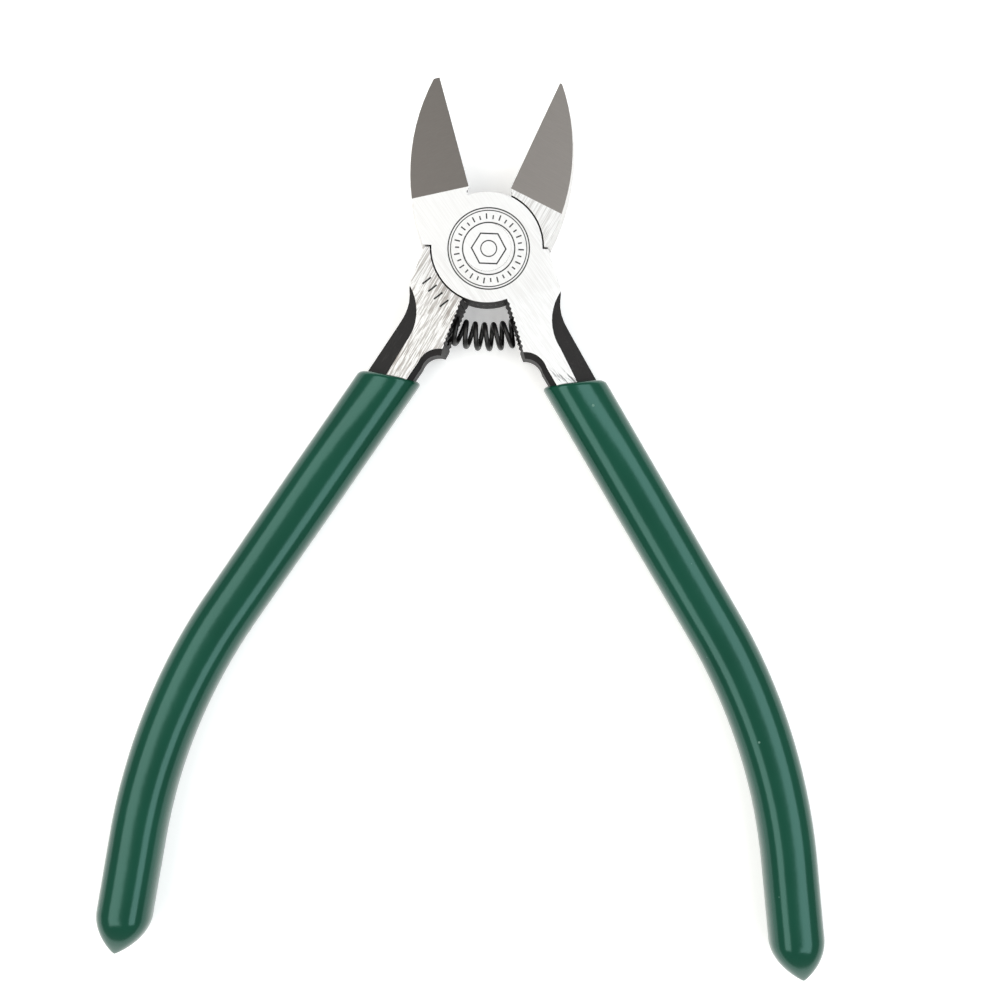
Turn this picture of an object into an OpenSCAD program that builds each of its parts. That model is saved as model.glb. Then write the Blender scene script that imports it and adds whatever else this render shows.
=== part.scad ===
// Flush cut pliers with a lap joint, a return spring and dipped grips.
// They lie flat with the jaws and handles open to the stop. The origin is on the pivot axis, in the plane
// that the head and the grips rest on; +X is to the right, +Y towards the jaws, +Z up.
// A half is drawn closed and with its joint disc in the upper layer. The lower half has the same joint, neck
// and handle turned over about +Y, and the mirror image of the jaw, so that both flush faces are on top.

/* [Head] */
// Thickness of the head, which is both layers of the lap joint
head_t = 10; // [9:0.5:12]
// Diameter of the joint disc
disc_d = 17.5; // [16:0.1:18]
// Gap between a disc's rim and the recess that it turns in
rim_gap = 0.25; // [0.1:0.05:0.4]
// Gap between the two layers of the lap joint
lap_gap = 0.06; // [0.04:0.01:0.1]
// Width of each cheek from the cutting line to its outer side
head_side_w = 9.75; // [9.5:0.05:11]
// Width of each neck from the closed centreline to its outer side
neck_side_w = 9.15; // [9.1:0.05:9.8]

/* [Jaws] */
// Length of the longer jaw from the pivot axis to its tip
jaw_len = 28.95; // [24:0.05:35]
// How much shorter the other jaw is
jaw_len_step = 0.5; // [0:0.05:1]
// How far short of the sharp point each tip is blunted
tip_blunt = 0.7; // [0.3:0.1:1.5]
// Distance from the pivot axis to the line where the flush face starts
face_start = 9.95; // [9.75:0.05:12]
// Drop of the flush face from its start to the tip
face_drop = 3.3; // [2:0.1:4]
// Thickness of the jaw at its tip
tip_t = 2.6; // [1.5:0.1:4]
// Wedge angle of the cutting edge
wedge_angle = 58; // [45:1:70]
// Gap that is left between the edges when they close
edge_gap = 0.02; // [0.01:0.01:0.1]
// Angle that the cutting line leans to the right of the handles' centreline
edge_lean = 2.6; // [0:0.1:4]
// Distance that the cutting line passes to the left of the pivot axis
edge_offset = 0.36; // [0:0.02:0.5]
// Extra angle of the line where the flush face starts
face_lean = 2.4; // [0:0.1:4]

/* [Opening] */
// Angle between the two halves at the open stop
open_angle = 39; // [30:1:45]

/* [Pivot] */
// Diameter of the rivet's shank
rivet_d = 5.5; // [4:0.1:6.5]
// Diameter of the rivet's two flush heads
rivet_head_d = 7.6; // [6.5:0.1:9]
// Height of each flush head
rivet_head_h = 1.2; // [0.8:0.1:2]
// Running gap round the rivet in the half that turns on it
rivet_gap = 0.03; // [0.02:0.01:0.08]

/* [Neck and serrations] */
// Distance from the closed centreline to the top of each serrated inner face
inner_face_x = 0.6; // [0.55:0.05:1]
// How far the upper half's serrated face leans in towards its underside
upper_face_slant = 0.3; // [0:0.1:0.4]
// How far the lower half's serrated face leans in towards its underside
lower_face_slant = 0.8; // [0:0.1:0.8]
// Pitch of the serrations
tooth_pitch = 0.77; // [0.6:0.01:1]
// Depth of the serrations
tooth_depth = 0.22; // [0.16:0.02:0.4]
// Number of serrations on each face
tooth_count = 10; // [8:1:10]

/* [Return spring] */
// Outer diameter of the coils
spring_d = 4.7; // [4:0.1:5.4]
// Diameter of the wire
wire_d = 0.8; // [0.6:0.05:1]
// Number of turns
spring_turns = 12; // [10:1:13]
// Distance from the pivot axis down to the spring's seats
spring_drop = 13.8; // [13:0.1:14.2]
// Depth of each seat below the serrated face
seat_depth = 5.2; // [4.6:0.1:5.6]
// Gap round the spring in its seats
seat_gap = 0.3; // [0.25:0.05:0.4]

/* [Handles] */
// Width of the handle bar
bar_w = 7; // [6:0.1:8]
// Thickness of the handle bar
bar_t = 8.2; // [7:0.1:8.6]
// Angle at which the closed handles leave the joint
handle_angle = 12.9; // [11:0.1:14]
// Distance along the handle from the joint to its bend
bend_start = 69.8; // [60:1:80]
// Radius of the handle's bend
bend_r = 92; // [80:1:120]
// Angle of the handle's bend
bend_turn = 24.9; // [20:0.1:30]
// Length of the straight end of the handle bar
bar_end_len = 11.5; // [10:0.1:20]

/* [Grips] */
// Thickness of the dipped coat on the handle's sides
grip_wall = 0.9; // [0.7:0.05:1.5]
// How much wider the grip is at its mouth than at its end
grip_swell = 0.5; // [0:0.1:1]
// Distance along the handle from the joint to the middle of the grip's mouth
mouth_start = 25; // [24:0.5:30]
// Slant of the grip's mouth
mouth_slant = 23; // [0:1:25]
// Length of the drop-shaped tip beyond the end of the bar
grip_tip = 7.8; // [7.4:0.1:10]

/* [Hidden] */
$fn = 96;

mid_z = head_t / 2;
disc_r = disc_d / 2;
recess_r = disc_r + rim_gap;
half_open = open_angle / 2;
far = 60;

// The joint's shoulders, as polar angles on a closed half. At the open stop they meet close to the X axis: the
// disc's layer ends on that line, and the other layer stops short of it by the angle of the stop's gap.
disc_shoulder = 180.2 - half_open;
stop_gap = 1.7;
cheek_shoulder = 360 - disc_shoulder - open_angle - stop_gap;
neck_shoulder = 180 - disc_shoulder - open_angle - stop_gap;

// The jaw's outer side is one arc through its widest point and the sharp point beyond the blunted tip.
jaw_belly = 5.8;
jaw_arc_r = (pow(head_side_w, 2) + pow(jaw_len + tip_blunt - jaw_belly, 2)) / (2 * head_side_w);
left_draft = 0.3;
right_draft = 0.6;
root_relief = 0.5;
root_len = 0.7;
bevel_lead = 0.3;
face_angle = atan(face_drop / (jaw_len - face_start));
belly_angle = atan((head_t - face_drop - tip_t) / (jaw_len - face_start));

// The neck's scoop, the black sloped flank between the ground face and the outer side
neck_face_start = recess_r + 0.3;
neck_slope = atan((head_t - bar_t) / 2 / 15);
scoop_s = 19.3;
scoop_u = 0.49;
scoop_v = mid_z - 0.3;
scoop_ratio = 1.1;
scoop_r = 8.1;
scoop_tilt = 6.5;

// The bar's flats, edges and sides
bar_flat = 0.6;
bar_edge = 0.9;
bar_side = 1.7;

// The serrations start past the joint. Below them the neck steps back round a hollow to the handle.
tooth_start = recess_r + 0.2;
neck_step = tooth_start + tooth_count * tooth_pitch + 0.3;
hollow_at = [-0.2, -neck_step - 4];
hollow_r = 2.8;
inner_edge_s = neck_step + 3;
inner_edge_v = mid_z - (inner_edge_s - neck_face_start) * tan(neck_slope) - bar_edge;
neck_end = mouth_start + 3;

// The straight lengths run this far into the bend, where they are still within a hundredth of its surface.
bend_lap = 1;

// A point u outwards from the handle's centreline and s along it, on a closed half
handle_x = 1.27;
function handle_point(u, s) = [
    handle_x + s * sin(handle_angle) + u * cos(handle_angle),
    u * sin(handle_angle) - s * cos(handle_angle)
];

// ---- jaws ----

// The part of the plane between two polar angles, seen from the pivot axis
module wedge(from, to) {
    mid = (from + to) / 2;
    polygon([[0, 0], far * [cos(from), sin(from)], far * [cos(mid), sin(mid)], far * [cos(to), sin(to)]]);
}

// The left jaw with its cheek, closed, its cutting edge on the plane x = 0 and before it is leaned
module jaw_blank(length, draft) {
    centre = [jaw_arc_r - head_side_w, jaw_belly];
    intersection() {
        translate([centre[0], centre[1], 0])
            cylinder(h = mid_z, r1 = jaw_arc_r - draft, r2 = jaw_arc_r);
        inner_side(0, mid_z, length);
    }
    intersection() {
        translate([centre[0], centre[1], mid_z])
            cylinder(h = mid_z, r1 = jaw_arc_r, r2 = jaw_arc_r - draft);
        inner_side(mid_z, head_t, length);
    }
}

// Everything to the left of the cutting line and short of the tip, with a step back between the edge's root
// and the disc. Past the root it reaches a little over the line, where the bevel then cuts the edge.
module inner_side(z0, z1, length) {
    bevel_start = face_start - bevel_lead + 0.02;
    translate([0, 0, z0])
        linear_extrude(z1 - z0)
            polygon([
                [-far, -1], [-root_relief, -1], [-root_relief, face_start - root_len],
                [-0.15, bevel_start], [0.3, bevel_start], [0.3, length], [-far, length]
            ]);
}

// What is ground off the jaw: the flush face on top, the bevel under the edge and the taper underneath
module jaw_grinding(turn) {
    translate([0, face_start, head_t]) {
        rotate([0, 0, -turn])
            rotate([-face_angle, 0, 0])
                translate([-far / 2, 0, 0])
                    cube([far, far, far]);
        rotate([-face_angle, 0, 0])
            translate([-edge_gap / 2, -bevel_lead, 0])
                rotate([0, 90 - wedge_angle, 0])
                    translate([0, 0, -far])
                        cube([far, far, far + 0.5]);
        }
    translate([-far / 2, face_start, 0])
        rotate([belly_angle, 0, 0])
            translate([0, 0, -far])
                cube([far, far, far]);
}

// The left jaw in its place, its cutting line leaning to the right or, with side = -1, to the left
module jaw(side, length, draft) {
    translate([-side * edge_offset, 0, 0])
        rotate([0, 0, -side * edge_lean])
            difference() {
                jaw_blank(length, draft);
                jaw_grinding(side * face_lean);
            }
}

// ---- joint and neck ----

module layer(z0, z1) {
    translate([0, 0, z0])
        linear_extrude(z1 - z0)
            children();
}

// The neck between the joint and the handle bar, seen from above
module neck_plan() {
    difference() {
        polygon([
            [neck_side_w, 2], [neck_side_w, -9.4], [neck_side_w - 0.2, -10.5], [neck_side_w - 0.6, -11.5],
            [neck_side_w - 0.9, -12.5], [neck_side_w - 1, -13.6], [neck_side_w - 0.9, -14.9],
            handle_point(bar_w / 2 - 0.1, neck_end), handle_point(-bar_w / 2, neck_end),
            handle_point(-bar_w / 2, inner_edge_s), [-1, -inner_edge_s], [-1, 2]
        ]);
        translate(hollow_at)
            circle(hollow_r);
    }
}

// What is cut off to leave the inner face: a leaning plane with one row of V-shaped serrations. The face is
// at x_top on the upper side and at x_under on the underside.
module serrated_face(x_top, x_under) {
    translate([(x_top + x_under) / 2, 0, mid_z])
        rotate([0, atan((x_top - x_under) / head_t), 0])
            linear_extrude(2 * head_t, center = true)
                polygon(concat(
                    [[-far, -far], [-far, 3], [0, 3]],
                    [for (i = [0:tooth_count - 1], d = [0, 0.5])
                        [2 * d * tooth_depth, -tooth_start - (i + d) * tooth_pitch]],
                    [[0, -tooth_start - tooth_count * tooth_pitch], [0, -far]]
                ));
}

// The frame of the handle bar: u along +X, the bar running along -Y
module in_handle() {
    translate([handle_x, 0, mid_z])
        rotate([0, 0, handle_angle])
            children();
}

// What is missing from the upper side of the neck
module neck_relief() {
    translate([-far / 2, -neck_face_start, head_t])
        rotate([neck_slope, 0, 0])
            translate([0, -far, 0])
                cube([far, far, far]);
    in_handle() {
        translate([scoop_u + scoop_r, -scoop_s, 0])
            translate([0, 0, scoop_v - 4])
                cylinder(h = 6, r1 = scoop_r - 4 * scoop_ratio, r2 = scoop_r + 2 * scoop_ratio);
        translate([scoop_u, -scoop_s, scoop_v])
            rotate([scoop_tilt + 90, 0, 0])
                linear_extrude(far)
                    polygon([[-3 * scoop_ratio, 3], [3.8 * scoop_ratio, -3.8], [far, -3.8], [far, 3]]);
        translate([-bar_w / 2, -inner_edge_s, inner_edge_v])
            rotate([90 + neck_slope, 0, 0])
                linear_extrude(far)
                    polygon([[-3, -3], [3, 3], [-3, 3]]);
    }
    translate([hollow_at[0], hollow_at[1], head_t - bar_edge - 0.7])
        cylinder(h = 3, r1 = hollow_r - 0.1, r2 = hollow_r + 2.9);
}

// The seat for one end of the return spring, a blind hole square to the serrated face
module spring_seat() {
    translate([inner_face_x + seat_depth, -spring_drop, mid_z])
        rotate([0, -90, 0])
            cylinder(h = seat_depth + 1, d = spring_d + 2 * seat_gap);
}

// ---- handle bar ----

// The bar's section, with a narrow flat on top and below and a long slope to the outer side
module bar_section() {
    polygon([
        [-bar_w / 2, -bar_t / 2 + bar_edge], [-bar_w / 2 + bar_edge, -bar_t / 2], [bar_flat, -bar_t / 2],
        [bar_w / 2, -bar_side], [bar_w / 2, bar_side], [bar_flat, bar_t / 2],
        [-bar_w / 2 + bar_edge, bar_t / 2], [-bar_w / 2, bar_t / 2 - bar_edge]
    ]);
}

// The frame at the end of the bend
module after_bend() {
    translate([-bend_r, -bend_start, 0])
        rotate([0, 0, -bend_turn])
            translate([bend_r, 0, 0])
                children();
}

// A section carried along the handle: straight, round the bend, and straight to the end
module along_handle(start, end_len) {
    in_handle() {
        translate([0, -start, 0])
            rotate([90, 0, 0])
                linear_extrude(bend_start - start + bend_lap)
                    children();
        translate([-bend_r, -bend_start, 0])
            rotate([0, 0, -bend_turn])
                rotate_extrude(angle = bend_turn, $fn = 360)
                    translate([bend_r, 0])
                        children();
        after_bend()
            translate([0, bend_lap, 0])
                rotate([90, 0, 0])
                    linear_extrude(end_len + bend_lap)
                        children();
    }
}

module handle_bar() {
    along_handle(neck_end - 1, bar_end_len)
        bar_section();
}

// ---- one half, closed, with its disc in the upper layer and without its jaw ----

// The neck, ground and scooped above and below, its end inside the grip
module neck(lap_z) {
    difference() {
        union() {
            layer(lap_z, head_t)
                intersection() {
                    neck_plan();
                    wedge(disc_shoulder - 180, -150);
                }
            layer(0, lap_z)
                intersection() {
                    neck_plan();
                    wedge(neck_shoulder, -150);
                }
        }
        neck_relief();
        translate([0, 0, head_t])
            mirror([0, 0, 1])
                neck_relief();
    }
}

module joint_and_handle(x_top, x_under) {
    lap_z = mid_z + lap_gap / 2;
    difference() {
        union() {
            difference() {
                neck(lap_z);
                serrated_face(x_top, x_under);
                layer(-1, lap_z)
                    circle(recess_r);
            }
            layer(lap_z, head_t)
                circle(disc_r);
            handle_bar();
        }
        spring_seat();
    }
}

// A left jaw with its cheek, cut to the joint's two layers
module jaw_in_joint(disc_on_top, length, draft) {
    lap_z = disc_on_top ? mid_z + lap_gap / 2 : mid_z - lap_gap / 2;
    upper = disc_on_top ? disc_shoulder : cheek_shoulder;
    lower = disc_on_top ? cheek_shoulder : disc_shoulder;
    difference() {
        intersection() {
            jaw(disc_on_top ? 1 : -1, length, draft);
            union() {
                layer(lap_z, head_t)
                    wedge(80, upper);
                layer(0, lap_z)
                    wedge(80, lower);
            }
        }
        layer(disc_on_top ? -1 : lap_z, disc_on_top ? lap_z : head_t + 1)
            circle(recess_r);
    }
}

// ---- pivot ----

module rivet_shape(gap) {
    cylinder(h = head_t, d = rivet_d + 2 * gap);
    cylinder(h = rivet_head_h + gap, d1 = rivet_head_d + 2 * gap, d2 = rivet_d + 2 * gap);
    translate([0, 0, head_t - rivet_head_h - gap])
        cylinder(h = rivet_head_h + gap, d1 = rivet_d + 2 * gap, d2 = rivet_head_d + 2 * gap);
}

// ---- grips ----

// The coat's outer section at a unit of scale: a rounded, slightly flattened ring
grip_w = bar_w + 2 * grip_wall;
grip_sides = 32;
function rounded(c, n) = sign(c) * pow(abs(c), 2 / n);
function grip_section(a) = [grip_w / 2 * rounded(cos(a), 2.5), head_t / 2 * rounded(sin(a), 2.5)];

// The handle's centreline at a distance s along it, in the handle's frame: [x, y, angle turned]
bend_len = bend_r * bend_turn * PI / 180;
function handle_axis(s) =
    s < bend_start ? [0, -s, 0]
    : s < bend_start + bend_len ? let (a = (s - bend_start) / bend_r * 180 / PI)
        [bend_r * (cos(a) - 1), -bend_start - bend_r * sin(a), a]
    : let (d = s - bend_start - bend_len)
        [bend_r * (cos(bend_turn) - 1) - d * sin(bend_turn),
         -bend_start - bend_r * sin(bend_turn) - d * cos(bend_turn), bend_turn];

// The rings of the coat: [distance along the handle, scale, offset to the outer side]. The last few draw in
// to a drop whose point hangs a little to the outer side.
swell_from = 45;
swell_to = 100;
function swell(s) = 1 + grip_swell / grip_w * min(1, max(0, (swell_to - s) / (swell_to - swell_from)));
grip_end = bend_start + bend_len + bar_end_len + grip_tip;
drop_len = 7;
bend_rings = 14;
grip_rings = concat(
    [[mouth_start - 4, 1, 0], [swell_from, 1, 0]],
    [for (i = [0:bend_rings]) [bend_start + bend_len * i / bend_rings, 1, 0]],
    [for (d = [7, 6, 5, 4, 3, 2, 1.2, 0.6, 0.2])
        [grip_end - d * drop_len / 7, sin(90 * pow(d / 7, 0.85)), 0.6 * pow(1 - d / 7, 2)]]
);

function grip_ring(r) = [
    for (k = [0:grip_sides - 1])
        let (p = grip_section(k * 360 / grip_sides), c = handle_axis(r[0]), u = p[0] * r[1] * swell(r[0]) + r[2])
        [c[0] + u * cos(c[2]), c[1] - u * sin(c[2]), p[1] * r[1]]
];

module grip_outside() {
    rings = len(grip_rings);
    in_handle()
        polyhedron(
            points = [for (r = grip_rings) each grip_ring(r)],
            faces = concat(
                [[for (k = [grip_sides - 1:-1:0]) k]],
                [for (i = [0:rings - 2]) for (k = [0:grip_sides - 1])
                    [i * grip_sides + k, i * grip_sides + (k + 1) % grip_sides,
                     (i + 1) * grip_sides + (k + 1) % grip_sides, (i + 1) * grip_sides + k]],
                [[for (k = [0:grip_sides - 1]) (rings - 1) * grip_sides + k]]
            )
        );
}

module grip() {
    difference() {
        grip_outside();
        handle_bar();
        neck(mid_z);
        in_handle()
            translate([0, -mouth_start, -far / 2])
                rotate([0, 0, -mouth_slant])
                    translate([-far / 2, 0, 0])
                        cube([far, far, far]);
    }
}

// ---- return spring ----

// The coils bend along an arc that leaves each seat square to its serrated face at the open stop.
spring_r = (spring_d - wire_d) / 2;
seat_mouth = [
    inner_face_x * cos(half_open) + spring_drop * sin(half_open),
    inner_face_x * sin(half_open) - spring_drop * cos(half_open)
];
arc_r = seat_mouth[0] / sin(half_open);
arc_centre_y = seat_mouth[1] + arc_r * cos(half_open);
seat_run = seat_depth - wire_d / 2 - 0.1;
arc_len = 2 * arc_r * half_open * PI / 180;
spring_len = arc_len + 2 * seat_run;

// The spring's own axis at a distance t from its left end: [x, y, direction]
function spring_axis(t) =
    t < seat_run ? let (d = seat_run - t)
        [-seat_mouth[0] - d * cos(half_open), seat_mouth[1] + d * sin(half_open), -half_open]
    : t > seat_run + arc_len ? let (d = t - seat_run - arc_len)
        [seat_mouth[0] + d * cos(half_open), seat_mouth[1] + d * sin(half_open), half_open]
    : let (a = -half_open + (t - seat_run) / arc_r * 180 / PI)
        [arc_r * sin(a), arc_centre_y - arc_r * cos(a), a];

// A point of the coil: the wire's centre, moved by r towards the polar angle q of the wire's own section
steps_per_turn = 16;
coil_steps = steps_per_turn * spring_turns;
function coil_point(i, q) =
    let (
        f = i / coil_steps,
        a = 360 * spring_turns * f,
        p = spring_axis(spring_len * f),
        rr = spring_r + wire_d / 2 * cos(q),
        side = wire_d / 2 * sin(q)
    )
    [
        p[0] - rr * cos(a) * sin(p[2]) + side * cos(p[2]),
        p[1] + rr * cos(a) * cos(p[2]) + side * sin(p[2]),
        mid_z + rr * sin(a)
    ];

module return_spring() {
    sides = 6;
    color("#26211f")
        polyhedron(
            points = [for (i = [0:coil_steps]) for (k = [0:sides - 1]) coil_point(i, k * 360 / sides)],
            faces = concat(
                [[for (k = [0:sides - 1]) k]],
                [for (i = [0:coil_steps - 1]) for (k = [0:sides - 1])
                    [i * sides + k, (i + 1) * sides + k, (i + 1) * sides + (k + 1) % sides,
                     i * sides + (k + 1) % sides]],
                [[for (k = [sides - 1:-1:0]) coil_steps * sides + k]]
            )
        );
}

// ---- the pieces, at the open stop ----

module upper_half() {
    color("#d9dadb")
        rotate([0, 0, half_open])
            difference() {
                union() {
                    joint_and_handle(inner_face_x, inner_face_x - upper_face_slant);
                    jaw_in_joint(true, jaw_len - jaw_len_step, left_draft);
                }
                rivet_shape(rivet_gap);
            }
}

module lower_half() {
    color("#cfd0d2")
        rotate([0, 0, -half_open])
            difference() {
                union() {
                    translate([0, 0, head_t])
                        rotate([0, 180, 0])
                            joint_and_handle(inner_face_x - lower_face_slant, inner_face_x);
                    mirror([1, 0, 0])
                        jaw_in_joint(false, jaw_len, right_draft);
                }
                rivet_shape(0);
            }
}

module pivot_rivet() {
    color("#b8babd")
        rivet_shape(0);
}

module right_grip() {
    color("#17573c")
        rotate([0, 0, half_open])
            grip();
}

module left_grip() {
    color("#17573c")
        rotate([0, 0, -half_open])
            mirror([1, 0, 0])
                grip();
}

upper_half();
lower_half();
pivot_rivet();
return_spring();
right_grip();
left_grip();
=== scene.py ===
import math

import bpy
import numpy as np
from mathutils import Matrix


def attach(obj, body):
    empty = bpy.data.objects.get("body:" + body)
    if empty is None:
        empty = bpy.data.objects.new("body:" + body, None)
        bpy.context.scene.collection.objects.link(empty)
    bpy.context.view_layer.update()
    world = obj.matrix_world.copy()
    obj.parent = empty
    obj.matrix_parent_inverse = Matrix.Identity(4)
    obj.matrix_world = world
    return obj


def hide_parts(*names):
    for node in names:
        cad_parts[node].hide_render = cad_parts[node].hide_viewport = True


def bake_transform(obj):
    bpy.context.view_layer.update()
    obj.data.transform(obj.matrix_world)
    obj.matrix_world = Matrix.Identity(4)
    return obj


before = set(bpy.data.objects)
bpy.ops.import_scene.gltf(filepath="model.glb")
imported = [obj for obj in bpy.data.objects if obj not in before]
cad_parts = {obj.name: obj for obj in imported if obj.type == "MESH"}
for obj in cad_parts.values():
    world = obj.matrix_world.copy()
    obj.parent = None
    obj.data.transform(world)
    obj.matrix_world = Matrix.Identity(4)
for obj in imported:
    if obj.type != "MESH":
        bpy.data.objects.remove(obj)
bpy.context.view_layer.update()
MM = 0.001


# ---- The studio ----
# A pale sheet under the pliers, two long soft boxes above them to the left and the right with a dark gap
# between, and a camera that looks straight down, a little nearer the handles than the jaws.

bpy.context.scene.view_settings.view_transform = "Standard"

CAMERA_PLACE = (3.704 * MM, -39.789 * MM, 300 * MM)
CAMERA_ROLL = 2.25
CAMERA_LENS = 66.3
SOFT_BOXES = {
    "left_soft_box": ((-0.40, -0.04, 0.66), (1.0, 0.985, 0.93), 5.2),
    "right_soft_box": ((0.40, -0.04, 0.66), (0.95, 0.985, 1.0), 5.2),
}
SOFT_BOX_SIZE = (0.42, 1.3)
ROOM_LIGHT = (0.97, 0.98, 1.0)
ROOM_STRENGTH = 0.42
SHEET_GLOW = 0.3
SHEET_SIZE = 6.0
SHEET_DROP = 0.02 * MM
SHEET_GREY, SHEET_WHITE = (0.90, 0.895, 0.885), (0.93, 0.93, 0.925)

camera_data = bpy.data.cameras.new("overhead_camera")
camera_data.lens = CAMERA_LENS
camera_data.sensor_width = 36
camera_data.clip_start = 0.01
camera_data.clip_end = 20
camera = bpy.data.objects.new("overhead_camera", camera_data)
camera.location = CAMERA_PLACE
camera.rotation_euler = (0, 0, math.radians(CAMERA_ROLL))
bpy.context.scene.collection.objects.link(camera)
bpy.context.scene.camera = camera

for name, (place, colour, power) in SOFT_BOXES.items():
    light = bpy.data.lights.new(name, "AREA")
    light.shape = "RECTANGLE"
    light.size, light.size_y = SOFT_BOX_SIZE
    light.color = colour
    light.energy = power
    holder = bpy.data.objects.new(name, light)
    holder.location = place
    holder.rotation_euler = (0, math.atan2(place[0], place[2]), 0)
    bpy.context.scene.collection.objects.link(holder)

world = bpy.data.worlds.new("studio_room")
bpy.context.scene.world = world
world.use_nodes = True
room = world.node_tree.nodes["Background"]
room.inputs["Color"].default_value = (*ROOM_LIGHT, 1)
room.inputs["Strength"].default_value = ROOM_STRENGTH


def put(tree, kind, settings=None, inputs=None, out=0):
    """Adds one node. settings are its own properties, inputs its sockets, each given a value or an output."""
    node = tree.nodes.new("ShaderNode" + kind)
    for key, value in (settings or {}).items():
        setattr(node, key, value)
    for key, value in (inputs or {}).items():
        if isinstance(value, bpy.types.NodeSocket):
            tree.links.new(value, node.inputs[key])
        else:
            node.inputs[key].default_value = value
    return node.outputs[out]


def calc(tree, operation, a, b=0.0, c=0.0):
    """One step of arithmetic on values that change over the surface."""
    return put(tree, "Math", {"operation": operation}, {0: a, 1: b, 2: c})


def between(tree, value, low, high, to_low=0.0, to_high=1.0):
    """A smooth step: to_low where value is below low, to_high where it is above high."""
    return put(
        tree, "MapRange", {"interpolation_type": "SMOOTHSTEP"},
        {"Value": value, "From Min": low, "From Max": high, "To Min": to_low, "To Max": to_high},
    )


def blended(tree, share, a, b):
    """Colour a where share is 0 and colour b where it is 1."""
    node = tree.nodes.new("ShaderNodeMix")
    node.data_type = "RGBA"
    for socket, value in ((node.inputs[0], share), (node.inputs[6], a), (node.inputs[7], b)):
        if isinstance(value, bpy.types.NodeSocket):
            tree.links.new(value, socket)
        else:
            socket.default_value = (*value, 1) if isinstance(value, tuple) else value
    return node.outputs[2]


def new_material(name):
    """An empty material with its shader: (material, tree, shader)."""
    material = bpy.data.materials.new(name)
    material.use_nodes = True
    return material, material.node_tree, material.node_tree.nodes["Principled BSDF"]


def feed(tree, shader, **sockets):
    """Links outputs to the shader's sockets, Base_Color meaning Base Color."""
    for key, value in sockets.items():
        tree.links.new(value, shader.inputs[key.replace("_", " ")])


sheet_mesh = bpy.data.meshes.new("pale_sheet")
edge = SHEET_SIZE / 2
corners = [(-edge, -edge), (edge, -edge), (edge, edge), (-edge, edge)]
sheet_mesh.from_pydata([(x, y, -SHEET_DROP) for x, y in corners], [], [(0, 1, 2, 3)])
pale_sheet = bpy.data.objects.new("pale_sheet", sheet_mesh)
bpy.context.scene.collection.objects.link(pale_sheet)
sheet_paint, tree, shader = new_material("pale_sheet")
where = put(tree, "TexCoord", out="Object")
mottle = put(tree, "TexNoise", None, {"Vector": where, "Scale": 3.0, "Detail": 3.0})
feed(tree, shader, Base_Color=blended(tree, mottle, SHEET_GREY, SHEET_WHITE))
shader.inputs["Roughness"].default_value = 0.9
shader.inputs["Specular IOR Level"].default_value = 0.1
shader.inputs["Emission Color"].default_value = (1, 1, 1, 1)
shader.inputs["Emission Strength"].default_value = SHEET_GLOW
sheet_mesh.materials.append(sheet_paint)


# ---- The two halves ----
# Each half is one drop forging of tool steel: jaw, joint and handle. The flat faces are ground bright on both
# sides, the flush faces finer and greyer; the sides, the scoops of the neck and the teeth keep the black scale.
# Faces that aren't flat are painted a little greyer, a painted shade for faces turned away from the lights.
# The walls of the notch at each jaw's root are painted black like the scale, as painted shade.

OPEN_HALF = math.radians(19.5)
HEAD_T = 10 * MM
TOP_FACE = HEAD_T * 0.98
LEVEL_FROM, LEVEL_TO = 0.94, 0.97
BRIGHT_STEEL = (0.82, 0.815, 0.81)
GROUND_LINES_AND_SIDE_SHADE = (0.54, 0.52, 0.50)
DEEP_LINES = (0.30, 0.27, 0.245)
FLUSH_GREY = (0.171, 0.158, 0.147)
BLACK_SCALE_AND_SHADE = (0.008, 0.007, 0.007)
BARE_SCALE = (0.055, 0.05, 0.048)
ETCHED = (0.03, 0.03, 0.03)


def new_group(name, inputs, outputs):
    """An empty shader group: (group, tree, the node of its inputs, the node of its outputs)."""
    tree = bpy.data.node_groups.new(name, "ShaderNodeTree")
    for socket, kind in inputs:
        tree.interface.new_socket(name=socket, in_out="INPUT", socket_type="NodeSocket" + kind)
    for socket, kind in outputs:
        tree.interface.new_socket(name=socket, in_out="OUTPUT", socket_type="NodeSocket" + kind)
    return tree, tree.nodes.new("NodeGroupInput"), tree.nodes.new("NodeGroupOutput")


# Lines left by a grinding belt: noise drawn out along one direction, which is Angle from +X.
grinding, given, result = new_group(
    "grinding_lines",
    [("Vector", "Vector"), ("Angle", "Float"), ("Width", "Float"), ("Length", "Float")],
    [("Lines", "Float"), ("Coarse", "Float")],
)
turned = put(grinding, "VectorRotate", {"rotation_type": "Z_AXIS"},
             {"Vector": given.outputs["Vector"], "Angle": calc(grinding, "MULTIPLY", given.outputs["Angle"], -1)})
apart = put(grinding, "SeparateXYZ", None, {0: turned}).node
drawn = put(grinding, "CombineXYZ", None, {
    "X": calc(grinding, "DIVIDE", apart.outputs["X"], given.outputs["Length"]),
    "Y": calc(grinding, "DIVIDE", apart.outputs["Y"], given.outputs["Width"]),
    "Z": calc(grinding, "DIVIDE", apart.outputs["Z"], given.outputs["Width"]),
})
fine = put(grinding, "TexNoise", None, {"Vector": drawn, "Scale": 1.0, "Detail": 3.0, "Roughness": 0.65})
coarse = put(grinding, "TexNoise", None, {"Vector": drawn, "Scale": 0.33, "Detail": 2.0, "Roughness": 0.6})
grinding.links.new(fine, result.inputs["Lines"])
grinding.links.new(coarse, result.inputs["Coarse"])


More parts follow.
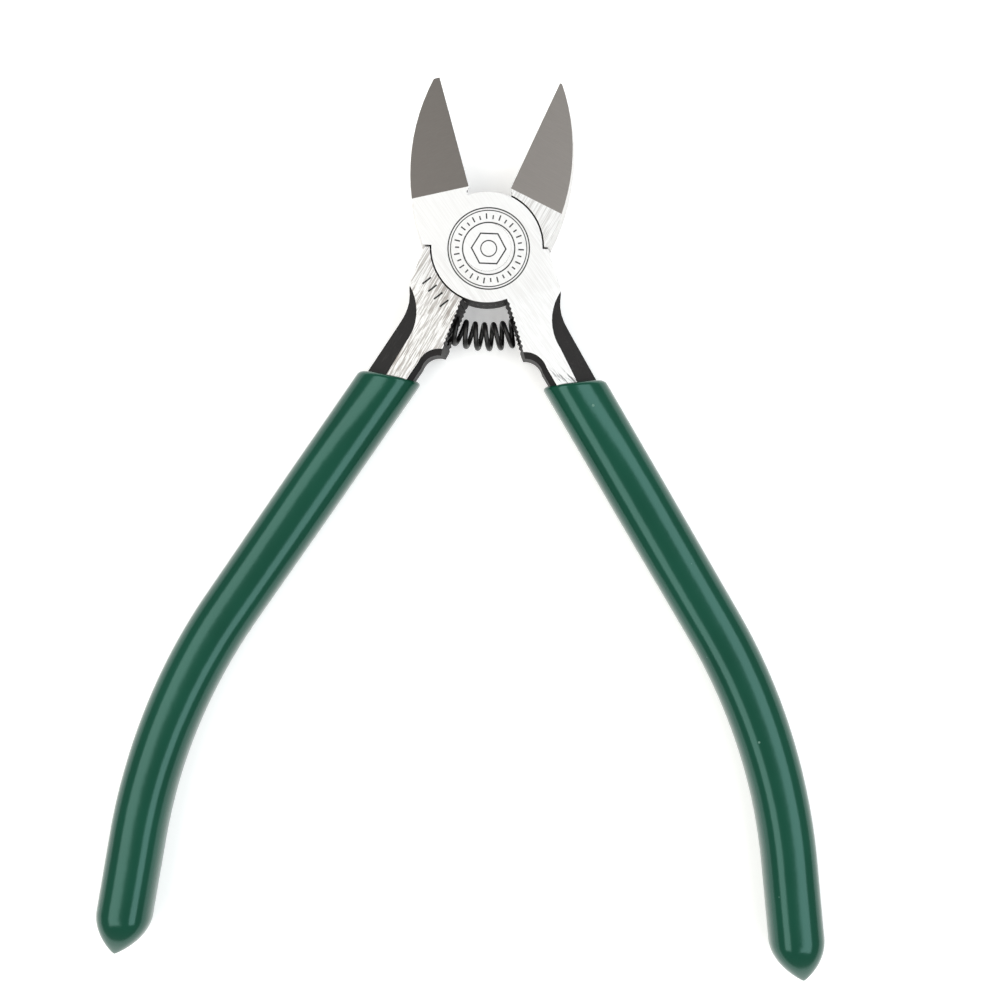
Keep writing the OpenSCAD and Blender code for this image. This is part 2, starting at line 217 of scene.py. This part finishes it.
# A generic etched ring: two outer rings, an inner ring, a band of plain ticks and a hexagon round a circle. Its
# radii and line widths are in millimetres.
RING_CENTRE = (0.29 * MM, -0.24 * MM, 0)
RING_LINES = ((6.40, 0.19), (6.0, 0.15), (4.1, 0.19), (1.25, 0.17))
HEXAGON_LINE = (2.35, 0.2)
TICKS = 30
TICK_FROM, TICK_TO_LONG, TICK_TO_SHORT = 4.65, 5.55, 5.3
etching, given, result = new_group("etched_ring", [("Vector", "Vector")], [("Mark", "Float")])
flat_point = put(etching, "VectorMath", {"operation": "SUBTRACT"}, {0: given.outputs["Vector"], 1: RING_CENTRE})
flat_point = put(etching, "VectorMath", {"operation": "MULTIPLY"}, {0: flat_point, 1: (1 / MM, 1 / MM, 0)})
radius = put(etching, "VectorMath", {"operation": "LENGTH"}, {0: flat_point}, out="Value")
apart = put(etching, "SeparateXYZ", None, {0: flat_point}).node
bearing = calc(etching, "ARCTAN2", apart.outputs["Y"], apart.outputs["X"])


def ring_line(tree, radius, at, width):
    """1 on a ring of radius at, falling to 0 over a soft edge half as wide as the line."""
    off = calc(tree, "ABSOLUTE", calc(tree, "SUBTRACT", radius, at))
    return between(tree, off, width * 0.35, width * 0.75, 1.0, 0.0)


rings = ring_line(etching, radius, *RING_LINES[0])
for at, width in RING_LINES[1:]:
    rings = calc(etching, "MAXIMUM", rings, ring_line(etching, radius, at, width))
turn = calc(etching, "MULTIPLY", bearing, TICKS / math.tau)
from_tick = calc(etching, "MULTIPLY", calc(etching, "PINGPONG", turn, 0.5), math.tau / TICKS)
tick = between(etching, calc(etching, "MULTIPLY", from_tick, radius), 0.07, 0.15, 1.0, 0.0)
every_other = calc(etching, "PINGPONG", turn, 1.0)
tick_top = between(etching, every_other, 0.4, 0.6, TICK_TO_LONG, TICK_TO_SHORT)
tick_band = calc(etching, "MULTIPLY", calc(etching, "LESS_THAN", radius, tick_top),
                 calc(etching, "GREATER_THAN", radius, TICK_FROM))
sector = calc(etching, "SUBTRACT", calc(etching, "MODULO", calc(etching, "ADD", bearing, math.tau), math.pi / 3),
              math.pi / 6)
flat_way = calc(etching, "MULTIPLY", radius, calc(etching, "COSINE", sector))
hexagon = ring_line(etching, flat_way, *HEXAGON_LINE)
lines = calc(etching, "MAXIMUM", rings, hexagon)
marks = calc(etching, "MAXIMUM", lines, calc(etching, "MULTIPLY", tick, tick_band))
etching.links.new(marks, result.inputs["Mark"])


# Masks over a half, from its closed frame with the handle at +X: Flush is the flush face of its jaw, Scale is
# where it keeps the black scale, and also the painted shade on the walls of the notch at each jaw's root, and
# Side is every face that isn't ground flat.
RECESS_R = 9.05 * MM
ROOT_FROM, ROOT_TO, ROOT_REACH = 7.5 * MM, 10.6 * MM, 1.5 * MM
BLACK_BELOW, BRIGHT_ABOVE = -6.2 * MM, -5.6 * MM
zones, given, result = new_group(
    "forged_zones", [("Place", "Vector"), ("Normal", "Vector")],
    [("Flush", "Float"), ("Scale", "Float"), ("Side", "Float")],
)
place = put(zones, "SeparateXYZ", None, {0: given.outputs["Place"]}).node
facing = put(zones, "SeparateXYZ", None, {0: given.outputs["Normal"]}).node
up = calc(zones, "ABSOLUTE", facing.outputs["Z"])
flat = between(zones, up, LEVEL_FROM, LEVEL_TO)
flush = calc(zones, "MULTIPLY", between(zones, facing.outputs["Y"], 0.07, 0.12),
             between(zones, facing.outputs["Z"], 0.9, 0.95))
ragged = put(zones, "TexNoise", None, {"Vector": given.outputs["Place"], "Scale": 900.0, "Detail": 3.0})
ragged_y = calc(zones, "MULTIPLY_ADD", ragged, 1.4 * MM, place.outputs["Y"])
low = between(zones, ragged_y, BLACK_BELOW, BRIGHT_ABOVE, 1.0, 0.0)
# Painted shade: the walls of the notch at each jaw's root are painted black like the scale, for the shadow in that
# notch.
root_notch_scale_and_shade = calc(zones, "MULTIPLY", calc(zones, "GREATER_THAN", place.outputs["Y"], ROOT_FROM),
                calc(zones, "LESS_THAN", place.outputs["Y"], ROOT_TO))
root_notch_scale_and_shade = calc(zones, "MULTIPLY", root_notch_scale_and_shade, calc(zones, "GREATER_THAN", place.outputs["X"], -ROOT_REACH))
outwards = put(zones, "VectorMath", {"operation": "MULTIPLY"}, {0: given.outputs["Place"], 1: (1, 1, 0)})
away = put(zones, "VectorMath", {"operation": "LENGTH"}, {0: outwards}, out="Value")
outwards = put(zones, "VectorMath", {"operation": "NORMALIZE"}, {0: outwards})
radial = put(zones, "VectorMath", {"operation": "DOT_PRODUCT"},
             {0: outwards, 1: given.outputs["Normal"]}, out="Value")
shoulder = calc(zones, "MULTIPLY", calc(zones, "LESS_THAN", calc(zones, "ABSOLUTE", radial), 0.5),
                calc(zones, "LESS_THAN", place.outputs["Y"], 1 * MM))
joint_wall = calc(zones, "MAXIMUM", shoulder, calc(zones, "LESS_THAN", away, RECESS_R))
scale_and_notch_shade = calc(zones, "MAXIMUM", calc(zones, "MAXIMUM", low, root_notch_scale_and_shade), joint_wall)
scale_and_shade_mask = calc(zones, "MULTIPLY", scale_and_notch_shade, calc(zones, "SUBTRACT", 1.0, flat))
zones.links.new(flush, result.inputs["Flush"])
zones.links.new(scale_and_shade_mask, result.inputs["Scale"])
zones.links.new(calc(zones, "SUBTRACT", 1.0, flat), result.inputs["Side"])


def forged_steel(name, mirrored, line_angle, line_depth, line_width, line_colour, flush_grey, extra_mark):
    """A half's steel. Its closed frame is Object coordinates turned back by half the opening, and mirrored in X
    for the half whose handle is on the left. line_depth is how strongly the grinding lines show."""
    material, tree, shader = new_material(name)
    here = put(tree, "TexCoord", out="Object")
    way = put(tree, "TexCoord", out="Normal")
    back = OPEN_HALF if mirrored else -OPEN_HALF
    flip = (-1.0, 1.0, 1.0) if mirrored else (1.0, 1.0, 1.0)
    frames = []
    for vector in (here, way):
        turned = put(tree, "VectorRotate", {"rotation_type": "Z_AXIS"}, {"Vector": vector, "Angle": back})
        frames.append(put(tree, "VectorMath", {"operation": "MULTIPLY"}, {0: turned, 1: flip}))
    place, facing = frames
    zone = put(tree, "Group", {"node_tree": zones}, {"Place": place, "Normal": facing}).node
    lines = put(tree, "Group", {"node_tree": grinding},
                {"Vector": place, "Angle": line_angle, "Width": line_width, "Length": 2.2 * MM}).node
    cross = put(tree, "Group", {"node_tree": grinding},
                {"Vector": place, "Angle": 0.12, "Width": 0.06 * MM, "Length": 2.5 * MM}).node
    cloud = put(tree, "TexNoise", None, {"Vector": place, "Scale": 260.0, "Detail": 4.0, "Roughness": 0.6})
    cloudy = between(tree, cloud, 0.3, 0.75)

    fine_share = between(tree, lines.outputs["Lines"], 0.46, 0.62, 0.0, 0.5)
    ground_share = calc(tree, "MAXIMUM", between(tree, lines.outputs["Coarse"], 0.45, 0.56), fine_share)
    ground_share = calc(tree, "MULTIPLY", ground_share, line_depth)
    ground_share = calc(tree, "MULTIPLY", ground_share, calc(tree, "MULTIPLY_ADD", cloudy, 0.35, 0.6))
    along = put(tree, "SeparateXYZ", None, {0: place}).node.outputs["Y"]
    ground_share = calc(tree, "MULTIPLY", ground_share, between(tree, along, -1 * MM, 4 * MM, 1.0, 0.5))
    colour = blended(tree, ground_share, BRIGHT_STEEL, line_colour)
    # Painted shade: every face that isn't flat is painted greyer, towards the grinding-line grey, for faces turned
    # away from the lights.
    side_painted_shade = calc(tree, "MULTIPLY", zone.outputs["Side"], 0.35)
    colour = blended(tree, side_painted_shade, colour, GROUND_LINES_AND_SIDE_SHADE)
    grey_low = tuple(c * 0.86 for c in flush_grey)
    grey = blended(tree, cross.outputs["Lines"], grey_low, tuple(c * 1.14 for c in flush_grey))
    colour = blended(tree, zone.outputs["Flush"], colour, grey)
    rub = calc(tree, "MULTIPLY", between(tree, lines.outputs["Lines"], 0.5, 0.72), cloudy)
    # This black is the scale's own colour, and also painted shade on the walls of the root notches.
    black = blended(tree, rub, BLACK_SCALE_AND_SHADE, BARE_SCALE)
    colour = blended(tree, zone.outputs["Scale"], colour, black)
    mark = extra_mark(tree, here, place, facing)
    colour = blended(tree, mark, colour, ETCHED)

    rough = calc(tree, "MULTIPLY_ADD", lines.outputs["Lines"], 0.12, 0.36)
    rough = calc(tree, "MULTIPLY_ADD", zone.outputs["Flush"], 0.06, rough)
    rough = calc(tree, "MULTIPLY_ADD", zone.outputs["Scale"], 0.15, rough)
    metal = calc(tree, "SUBTRACT", 1.0, calc(tree, "MULTIPLY", zone.outputs["Scale"], 0.95))
    height = calc(tree, "MULTIPLY", lines.outputs["Lines"], calc(tree, "MULTIPLY_ADD", line_depth, 0.6, 0.15))
    pits = put(tree, "TexNoise", None, {"Vector": place, "Scale": 3200.0, "Detail": 4.0, "Roughness": 0.7})
    height = calc(tree, "MULTIPLY_ADD", calc(tree, "MULTIPLY", pits, zone.outputs["Scale"]), 2.6, height)
    height = calc(tree, "SUBTRACT", height, mark)
    rounded = put(tree, "Bevel", {"samples": 4}, {"Radius": 0.12 * MM})
    bump = put(tree, "Bump", None, {"Height": height, "Strength": 0.35, "Distance": 0.02 * MM, "Normal": rounded})
    feed(tree, shader, Base_Color=colour, Roughness=rough, Metallic=metal, Normal=bump)
    shader.inputs["Specular IOR Level"].default_value = 0.25
    return material


def ring_and_streaks(tree, here, place, facing):
    """The etched ring round the pivot, and a few dark streaks of scale where the ground face ends at the grip."""
    ring = put(tree, "Group", {"node_tree": etching}, {"Vector": here})
    height = put(tree, "SeparateXYZ", None, {0: here}).node.outputs["Z"]
    ring = calc(tree, "MULTIPLY", ring, calc(tree, "GREATER_THAN", height, TOP_FACE))
    streak = put(tree, "Group", {"node_tree": grinding},
                 {"Vector": place, "Angle": -1.15, "Width": 0.42 * MM, "Length": 5 * MM}).node
    apart = put(tree, "SeparateXYZ", None, {0: place}).node
    end = between(tree, apart.outputs["Y"], -23.6 * MM, -20.4 * MM, 1.0, 0.0)
    dark = calc(tree, "MULTIPLY", between(tree, streak.outputs["Lines"], 0.53, 0.6), end)
    upwards = put(tree, "SeparateXYZ", None, {0: facing}).node.outputs["Z"]
    top = between(tree, upwards, LEVEL_FROM, LEVEL_TO)
    return calc(tree, "MAXIMUM", ring, calc(tree, "MULTIPLY", calc(tree, "MULTIPLY", dark, top), 0.8))


CHEEK_MARK_AT = (-7.82 * MM, -7.41 * MM)
CHEEK_MARK_TURN = math.radians(50.3)
STROKE_PITCH = 1.5 * MM
STROKE_ROW_HALF = 2.7 * MM
STROKE_HALF_HEIGHT = 0.85 * MM


def cheek_strokes(tree, here, place, facing):
    """Four plain strokes etched in a row on the cheek, each by its distance from the nearest stroke's middle. The
    row is shifted by half a pitch, for two on each side, and by 30 pitches, which keeps the distance positive."""
    centred = put(tree, "VectorMath", {"operation": "SUBTRACT"}, {0: here, 1: (*CHEEK_MARK_AT, 0)})
    turned = put(tree, "VectorRotate", {"rotation_type": "Z_AXIS"}, {"Vector": centred, "Angle": CHEEK_MARK_TURN})
    apart = put(tree, "SeparateXYZ", None, {0: turned}).node
    along, across = apart.outputs["X"], apart.outputs["Y"]
    off = calc(tree, "PINGPONG", calc(tree, "ADD", along, 30.5 * STROKE_PITCH), STROKE_PITCH / 2)
    stroke = between(tree, off, 0.10 * MM, 0.18 * MM, 1.0, 0.0)
    inside = calc(tree, "LESS_THAN", calc(tree, "ABSOLUTE", along), STROKE_ROW_HALF)
    tall = calc(tree, "LESS_THAN", calc(tree, "ABSOLUTE", across), STROKE_HALF_HEIGHT)
    top = calc(tree, "GREATER_THAN", apart.outputs["Z"], TOP_FACE)
    return calc(tree, "MULTIPLY", calc(tree, "MULTIPLY", stroke, inside), calc(tree, "MULTIPLY", tall, top))


upper_steel = forged_steel("upper_half_steel", False, -1.25, 0.32, 0.07 * MM, GROUND_LINES_AND_SIDE_SHADE,
                           FLUSH_GREY, ring_and_streaks)
lower_steel = forged_steel("lower_half_steel", True, -1.42, 1.0, 0.07 * MM, DEEP_LINES,
                           tuple(c * 1.35 for c in FLUSH_GREY), cheek_strokes)


def give(node, material):
    """Sets the one material of a CAD node."""
    node.data.materials.clear()
    node.data.materials.append(material)


give(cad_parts["upper_half"], upper_steel)
give(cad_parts["lower_half"], lower_steel)


# ---- The pivot rivet ----
# A steel rivet, set in the lower half and headed over in countersinks, then ground flush with both faces of the
# head, so that on top only the etched mark that runs across it shows.

rivet_steel, tree, shader = new_material("rivet_steel")
here = put(tree, "TexCoord", out="Object")
height = put(tree, "SeparateXYZ", None, {0: here}).node.outputs["Z"]
lines = put(tree, "Group", {"node_tree": grinding},
            {"Vector": here, "Angle": -0.9, "Width": 0.11 * MM, "Length": 5 * MM}).node
mark = put(tree, "Group", {"node_tree": etching}, {"Vector": here})
mark = calc(tree, "MULTIPLY", mark, calc(tree, "GREATER_THAN", height, TOP_FACE))
share = calc(tree, "MULTIPLY", between(tree, lines.outputs["Coarse"], 0.42, 0.72), 0.12)
colour = blended(tree, share, BRIGHT_STEEL, GROUND_LINES_AND_SIDE_SHADE)
bump = put(tree, "Bump", None, {
    "Height": calc(tree, "MULTIPLY_ADD", lines.outputs["Lines"], 0.2, calc(tree, "MULTIPLY", mark, -1.0)),
    "Strength": 0.35, "Distance": 0.02 * MM,
})
feed(tree, shader, Base_Color=blended(tree, mark, colour, ETCHED), Normal=bump,
     Roughness=calc(tree, "MULTIPLY_ADD", lines.outputs["Lines"], 0.12, 0.36))
shader.inputs["Metallic"].default_value = 1.0
give(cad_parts["pivot_rivet"], rivet_steel)


# ---- The return spring ----
# A compression spring coiled from blackened wire. Its ends sit in a blind hole in each serrated face and it bows
# towards the handles. On the tool it bends and shortens between the two halves as they close; this coil is one
# fixed shape, built for the halves opened by OPEN_HALF each.

SPRING_OD = 4.7 * MM
WIRE_D = 0.8 * MM
SPRING_TURNS = 12
SPRING_DROP = 13.8 * MM
FACE_X = 0.6 * MM
SEAT_RUN = 4.7 * MM
STEPS_PER_TURN = 40
WIRE_SIDES = 14
WIRE_BLACK, WIRE_WORN = (0.012, 0.011, 0.011), (0.05, 0.047, 0.045)


def mesh_piece(name, points, faces, material):
    """An object of these points and faces, smooth, at the origin."""
    mesh = bpy.data.meshes.new(name)
    mesh.from_pydata(points.reshape(-1, 3).tolist(), [], faces)
    mesh.polygons.foreach_set("use_smooth", np.ones(len(mesh.polygons), bool))
    mesh.materials.append(material)
    piece = bpy.data.objects.new(name, mesh)
    bpy.context.scene.collection.objects.link(piece)
    return piece


def tube_faces(rings, sides):
    """Quads between neighbouring rings of a tube that closes on itself, and one cap at each end."""
    ring, side = np.meshgrid(np.arange(rings - 1), np.arange(sides), indexing="ij")
    here, after = ring * sides, (ring + 1) * sides
    following = (side + 1) % sides
    quads = np.stack([here + side, here + following, after + following, after + side], -1).reshape(-1, 4)
    caps = [list(range(sides))[::-1], list(range((rings - 1) * sides, rings * sides))]
    return quads.tolist() + caps


def coil(steps):
    """The wire's centre line and its frame: the spring's own axis is straight in each seat and one arc between
    them, square to both faces; the wire goes round that axis at the coil's mean radius, SPRING_TURNS times."""
    mouth = np.array([FACE_X * math.cos(OPEN_HALF) + SPRING_DROP * math.sin(OPEN_HALF),
                      FACE_X * math.sin(OPEN_HALF) - SPRING_DROP * math.cos(OPEN_HALF)])
    arc_r = mouth[0] / math.sin(OPEN_HALF)
    arc_len = 2 * arc_r * OPEN_HALF
    t = np.linspace(-SEAT_RUN - arc_len / 2, SEAT_RUN + arc_len / 2, steps)
    on_arc = np.clip(t, -arc_len / 2, arc_len / 2)
    past = t - on_arc
    heading = on_arc / arc_r
    x = arc_r * np.sin(heading) + past * np.cos(heading)
    y = mouth[1] + arc_r * (math.cos(OPEN_HALF) - np.cos(heading)) + past * np.sin(heading)
    round_angle = math.tau * SPRING_TURNS * np.linspace(0, 1, steps)
    across = np.stack([-np.sin(heading), np.cos(heading), 0 * t], -1)
    radius = (SPRING_OD - WIRE_D) / 2
    upwards = np.array([0, 0, 1.0])
    out = across * np.cos(round_angle)[:, None] + upwards * np.sin(round_angle)[:, None]
    along = np.stack([np.cos(heading), np.sin(heading), 0 * t], -1)
    centre = np.stack([x, y, np.full(steps, HEAD_T / 2)], -1) + radius * out
    return centre, out, along


steps = STEPS_PER_TURN * SPRING_TURNS
centre, out, along = coil(steps)
section = np.linspace(0, math.tau, WIRE_SIDES, endpoint=False)
rim = np.cos(section)[:, None] * out[:, None] + np.sin(section)[:, None] * along[:, None]
wire = centre[:, None] + WIRE_D / 2 * rim

wire_black, tree, shader = new_material("black_spring_wire")
here = put(tree, "TexCoord", out="Object")
drawn = put(tree, "TexNoise", None, {"Vector": here, "Scale": 2500.0, "Detail": 3.0})
worn = between(tree, put(tree, "TexNoise", None, {"Vector": here, "Scale": 700.0, "Detail": 4.0}), 0.55, 0.8)
feed(tree, shader, Base_Color=blended(tree, worn, WIRE_BLACK, WIRE_WORN),
     Roughness=calc(tree, "MULTIPLY_ADD", drawn, 0.2, 0.24),
     Normal=put(tree, "Bump", None, {"Height": drawn, "Strength": 0.2, "Distance": 0.02 * MM}))
shader.inputs["Metallic"].default_value = 0.3
spring = mesh_piece("coil_return_spring", wire, tube_faces(steps, WIRE_SIDES), wire_black)
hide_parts("return_spring")
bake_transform(spring)


# ---- The grips ----
# Each handle bar is dipped in green PVC, which leaves a smooth glossy coat about a millimetre thick with a rounded
# lip where it was trimmed, a slight sag beside the lip, and a drop where the last of it ran off the end.

HANDLE_X = 1.27 * MM
HANDLE_ANGLE = math.radians(12.9)
BEND_START = 69.8 * MM
BEND_R = 92 * MM
BEND_TURN = math.radians(24.9)
BAR_END = 11.5 * MM
DROP_PAST_BAR = 7.66 * MM
DROP_LEN = 7 * MM
COAT_W = 8.8 * MM
COAT_POWER = 2.5
MOUTH_SWELL = 0.5 * MM
SWELL_FROM, SWELL_TO = 45 * MM, 100 * MM
MOUTH_S = 25 * MM
MOUTH_SLANT = math.radians(23)
LIP_R = 0.75 * MM
SLANT_REACH = 14 * MM
SAG, SAG_REACH = 0.13, 13 * MM
WAVE = 0.004
DROP_LEAN = 0.6 * MM
TUNNEL = 5 * MM
BAR_FIT = 0.97
COAT_SIDES = 96
GREEN_DEEP, GREEN_PALE = (0.0022, 0.040, 0.021), (0.0032, 0.051, 0.028)
DUST = (0.25, 0.4, 0.33)
BAR_CORNERS = np.array([
    [-3.5, -3.2], [-2.6, -4.1], [0.6, -4.1], [3.5, -1.7], [3.5, 1.7], [0.6, 4.1], [-2.6, 4.1], [-3.5, 3.2]]) * MM


def handle_line(s):
    """The handle's centre line: straight down, round the bend, straight on; (x, y, angle turned) at each s."""
    turned = np.clip((s - BEND_START) / BEND_R, 0, BEND_TURN)
    before = np.minimum(s, BEND_START)
    past = np.maximum(s - BEND_START - BEND_R * BEND_TURN, 0)
    x = BEND_R * (np.cos(turned) - 1) - past * np.sin(turned)
    y = -before - BEND_R * np.sin(turned) - past * np.cos(turned)
    return x, y, turned


def soft_section(angle):
    """A superellipse of power COAT_POWER, COAT_W wide and HEAD_T thick."""
    unit = np.stack([np.cos(angle), np.sin(angle)], -1)
    return np.array([COAT_W / 2, HEAD_T / 2]) * np.sign(unit) * np.abs(unit) ** (2 / COAT_POWER)


def bar_section(angle, share):
    """The bar's polygon at each bearing: the nearest of its edges, at a distance d along its normal n, is
    d / (n . bearing) away."""
    following = np.roll(BAR_CORNERS, -1, 0)
    run = following - BAR_CORNERS
    normal = np.stack([run[:, 1], -run[:, 0]], -1) / np.linalg.norm(run, axis=1)[:, None]
    distance = (BAR_CORNERS * normal).sum(1)
    bearing = np.stack([np.cos(angle), np.sin(angle)], -1)
    reach = 1 / (bearing @ (normal / distance[:, None]).T).max(1)
    return share * reach[:, None] * bearing


def coat_rings():
    """Every ring of the coat as (u, z, s): up the inside of the tunnel, round the lip, along the handle with a
    faint uneven thickness, and into the drop, whose scale is the sine of a power of the distance left."""
    grid = np.linspace(0, math.tau, COAT_SIDES, endpoint=False)
    outer = soft_section(grid)
    bearing = np.arctan2(outer[:, 1], outer[:, 0])
    inner = bar_section(bearing, BAR_FIT)
    end = BEND_START + BEND_R * BEND_TURN + BAR_END + DROP_PAST_BAR
    rings = []
    for depth in (TUNNEL, 0.3 * MM):
        rings.append(np.column_stack([inner, np.full(COAT_SIDES, MOUTH_S + depth)]))
    rim = outer * (1 - LIP_R / (COAT_W / 2))
    for share in (0.35, 0.75):
        dip = 0.1 * MM * (1 - share)
        rings.append(np.column_stack([inner + (rim - inner) * share, np.full(COAT_SIDES, MOUTH_S + dip)]))
    for turn in np.linspace(0, math.pi / 2, 7):
        inset = 1 - LIP_R * (1 - math.sin(turn)) / (COAT_W / 2)
        rings.append(np.column_stack([outer * inset, np.full(COAT_SIDES, MOUTH_S + LIP_R * (1 - math.cos(turn)))]))
    for s in np.linspace(MOUTH_S + LIP_R, end - DROP_LEN, 130)[1:]:
        rings.append(np.column_stack([outer, np.full(COAT_SIDES, s)]))
    for left in np.linspace(1, 0, 26)[1:-1] ** 1.6:
        share = math.sin(math.pi / 2 * left ** 0.85)
        ring = outer * share + np.array([DROP_LEAN * (1 - left) ** 2, 0])
        rings.append(np.column_stack([ring, np.full(COAT_SIDES, end - left * DROP_LEN)]))
    rings = np.array(rings)
    u, z, s = rings[..., 0], rings[..., 1], rings[..., 2]
    near = np.exp(-(((s - MOUTH_S) / SAG_REACH) ** 2))
    outer_side = np.clip((u + 1.5 * MM) / (5.5 * MM), 0, 1)
    sag = 1 - SAG * near * outer_side ** 2 * (3 - 2 * outer_side)
    body = np.clip((s - MOUTH_S) / (4 * MM), 0, 1) * np.clip((end - s) / (9 * MM), 0, 1)
    wave = 1 - WAVE * body * (1 + np.sin(s / (6.1 * MM) + 0.8) * np.sin(grid * 2 + s / (17 * MM)))
    swell = 1 + MOUTH_SWELL / COAT_W * np.clip((SWELL_TO - s) / (SWELL_TO - SWELL_FROM), 0, 1)
    u, z = u * wave * swell, z * sag * wave
    shear = np.clip(1 - (s - MOUTH_S) / SLANT_REACH, 0, 1)
    s = s + u * math.tan(MOUTH_SLANT) * shear * shear * (3 - 2 * shear)
    return u, z, s


def grip_coat(side):
    """The coat's points in the row frame: carried along the handle, then turned by half the opening. side is +1 on
    the right and -1 on the left, where the points are mirrored and each ring runs the other way round."""
    u, z, s = coat_rings()
    x, y, turned = handle_line(s)
    x, y = x + u * np.cos(turned), y - u * np.sin(turned)
    angle = HANDLE_ANGLE + OPEN_HALF
    shift_x, shift_y = HANDLE_X * math.cos(OPEN_HALF), HANDLE_X * math.sin(OPEN_HALF)
    across = shift_x + x * math.cos(angle) - y * math.sin(angle)
    down = shift_y + x * math.sin(angle) + y * math.cos(angle)
    points = np.stack([side * across, down, HEAD_T / 2 + z], -1)
    return points if side > 0 else points[:, ::-1]


green_pvc, tree, shader = new_material("green_dipped_pvc")
here = put(tree, "TexCoord", out="Object")
drift = put(tree, "TexNoise", None, {"Vector": here, "Scale": 45.0, "Detail": 3.0})
skin = put(tree, "TexNoise", None, {"Vector": here, "Scale": 420.0, "Detail": 2.0})
dust_cell = put(tree, "TexVoronoi", None, {"Vector": here, "Scale": 190.0}, out="Distance")
dust = between(tree, dust_cell, 0.03, 0.05, 1.0, 0.0)
colour = blended(tree, between(tree, drift, 0.3, 0.7), GREEN_DEEP, GREEN_PALE)
rough = calc(tree, "MULTIPLY_ADD", drift, 0.08, 0.14)
feed(tree, shader, Base_Color=blended(tree, calc(tree, "MULTIPLY", dust, 0.35), colour, DUST),
     Roughness=calc(tree, "MULTIPLY_ADD", dust, 0.3, rough),
     Normal=put(tree, "Bump", None, {"Height": skin, "Strength": 0.12, "Distance": 0.15 * MM}))
shader.inputs["Specular Tint"].default_value = (0.55, 1.0, 0.95, 1)

GRIPS = (
    (1, "right_dipped_grip", "right_grip", "upper"),
    (-1, "left_dipped_grip", "left_grip", "lower"),
)
for side, name, node, body in GRIPS:
    points = grip_coat(side)
    grip = mesh_piece(name, points, tube_faces(*points.shape[:2]), green_pvc)
    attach(grip, body)
    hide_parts(node)
